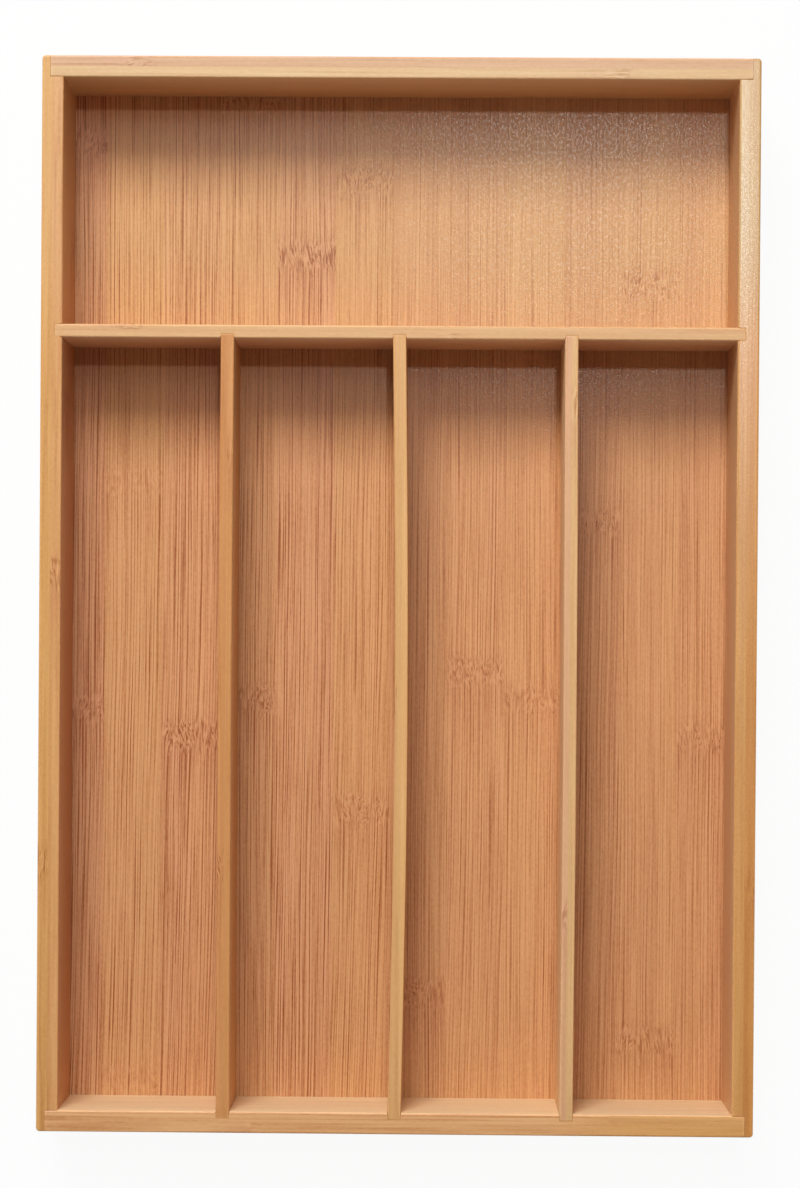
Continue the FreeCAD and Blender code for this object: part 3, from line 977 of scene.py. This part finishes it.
class TRAY_OT_glue(bpy.types.Operator):
    """Fills the eased edges of the housed joints with glue, almost flush with the rim"""

    bl_idname = "tray.glue"
    bl_label = "Glue lines"

    def execute(self, context):
        sizes, colours = context.scene.tray_sizes, context.scene.tray_colours
        height = RIM_TOP - sizes.glue_sink - sizes.glue_depth / 2
        places, extents = [], []
        for (left, right), (front, back) in joint_spans(sizes):
            places.append(((left + right) / 2, (front + back) / 2, height))
            extents.extend((right - left, back - front, sizes.glue_depth))
        mesh = bpy.data.meshes.new("glue_places")
        mesh.from_pydata(places, [], [])
        mesh.attributes.new("extent", "FLOAT_VECTOR", "POINT").data.foreach_set("vector", extents)
        piece = run_tree("glue_lines", mesh, glue_tree(), {"Wood": glue_material(sizes, colours)})
        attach(piece, "root")
        return {"FINISHED"}


class TRAY_OT_stage(bpy.types.Operator):
    """Sets up the ground, the lights and the camera"""

    bl_idname = "tray.stage"
    bl_label = "Stage"

    def execute(self, context):
        scene = context.scene
        scene.view_settings.view_transform = "Standard"
        self.add_ground(scene)
        self.add_lights(scene)
        self.add_world(scene)
        self.add_camera(scene)
        return {"FINISHED"}

    def add_ground(self, scene):
        """A wide white surface that keeps a soft shadow."""
        mesh = bpy.data.meshes.new("ground")
        corners = [(x * GROUND_REACH, y * GROUND_REACH, 0.0) for x, y in ((-1, -1), (1, -1), (1, 1), (-1, 1))]
        mesh.from_pydata(corners, [], [(0, 1, 2, 3)])
        ground = bpy.data.objects.new("ground", mesh)
        scene.collection.objects.link(ground)
        material = new_material("ground_white")
        tree = material.node_tree
        path = add_node(tree, "ShaderNodeLightPath", None, None, "Is Camera Ray")
        shown = path.most(path.output("Is Glossy Ray")).most(path.output("Is Transmission Ray"))
        matt = add_node(tree, "ShaderNodeBsdfDiffuse", None, {"Color": scene.tray_colours.ground})
        white = add_node(tree, "ShaderNodeEmission", None, {"Color": WHITE, "Strength": 1.0})
        place = add_node(tree, "ShaderNodeTexCoord", None, None, "Object")
        away = add_node(tree, "ShaderNodeVectorMath", {"operation": "LENGTH"}, {0: place}, "Value")
        share = shown * (GROUND_WHITE + away.rise(*GROUND_FADE) * (1.0 - GROUND_WHITE))
        surface = add_node(tree, "ShaderNodeMixShader", None, {0: share, 1: matt, 2: white})
        add_node(tree, "ShaderNodeOutputMaterial", None, {"Surface": surface})
        mesh.materials.append(material)

    def add_lights(self, scene):
        """A broad lamp at the back left, a dim panel and a small lamp above the back, all facing the tray."""
        for lamp in LAMPS:
            light = bpy.data.lights.new(lamp.name, "AREA")
            light.shape = lamp.shape
            light.size = lamp.size
            light.energy = getattr(scene.tray_light, lamp.power)
            place = Vector((lamp.x, lamp.y, RIM_TOP + lamp.height))
            holder = bpy.data.objects.new(lamp.name, light)
            holder.location = place
            holder.rotation_euler = (-place).to_track_quat("-Z", "Y").to_euler()
            scene.collection.objects.link(holder)

    def add_world(self, scene):
        """White round the horizon and dim straight above."""
        world = bpy.data.worlds.new("studio")
        scene.world = world
        world.use_nodes = True
        tree = world.node_tree
        tree.nodes.clear()
        place = add_node(tree, "ShaderNodeTexCoord", None, None, "Generated")
        split = add_node(tree, "ShaderNodeSeparateXYZ", None, {"Vector": place})
        level = 1.0 - split.output("Z").rise(*HORIZON) * (1.0 - scene.tray_light.zenith_level)
        back = add_node(tree, "ShaderNodeBackground", None, {"Color": WHITE, "Strength": level})
        add_node(tree, "ShaderNodeOutputWorld", None, {"Surface": back})

    def add_camera(self, scene):
        """A camera almost straight above, as far away as the picture's."""
        camera = bpy.data.cameras.new("camera")
        camera.sensor_fit = "VERTICAL"
        camera.sensor_height = SENSOR_SIZE
        camera.lens = LENS_PIXELS / PICTURE_HIGH * SENSOR_SIZE
        camera.shift_y = FRAME_SHIFT_PIXELS / PICTURE_HIGH
        holder = bpy.data.objects.new("camera", camera)
        x, y, height = CAMERA_PLACE
        holder.location = (x, y, RIM_TOP + height)
        holder.rotation_mode = "ZYX"
        holder.rotation_euler = Euler(CAMERA_TURN, "ZYX")
        scene.collection.objects.link(holder)
        scene.camera = holder


class TRAY_PT_panel(bpy.types.Panel):
    """Lists the tray's pieces, sizes, colours and light"""

    bl_idname = "TRAY_PT_panel"
    bl_label = "Cutlery tray"
    bl_space_type = "VIEW_3D"
    bl_region_type = "UI"
    bl_category = "Tray"

    def draw(self, context):
        column = self.layout.column()
        for operator in OPERATORS:
            column.operator(operator.bl_idname)
        for group in (context.scene.tray_sizes, context.scene.tray_colours, context.scene.tray_light):
            for field in group.__annotations__:
                column.prop(group, field)


GROUPS = {"tray_sizes": TraySizes, "tray_colours": TrayColours, "tray_light": TrayLight}
OPERATORS = (TRAY_OT_stage, TRAY_OT_floor, TRAY_OT_rim, TRAY_OT_cross, TRAY_OT_dividers, TRAY_OT_glue)


def register():
    """Registers the classes and puts the settings on the scene."""
    for part in (*GROUPS.values(), *OPERATORS, TRAY_PT_panel):
        bpy.utils.register_class(part)
    for name, group in GROUPS.items():
        setattr(bpy.types.Scene, name, bpy.props.PointerProperty(type=group))


def unregister():
    """Takes the settings and classes away again."""
    for name in GROUPS:
        delattr(bpy.types.Scene, name)
    for part in (TRAY_PT_panel, *reversed(OPERATORS), *GROUPS.values()):
        bpy.utils.unregister_class(part)


def main():
    """Builds the tray and its stage in order."""
    register()
    bpy.ops.tray.stage()
    bpy.ops.tray.floor()
    bpy.ops.tray.rim()
    bpy.ops.tray.cross()
    bpy.ops.tray.dividers()
    bpy.ops.tray.glue()


if __name__ == "__main__":
    main()
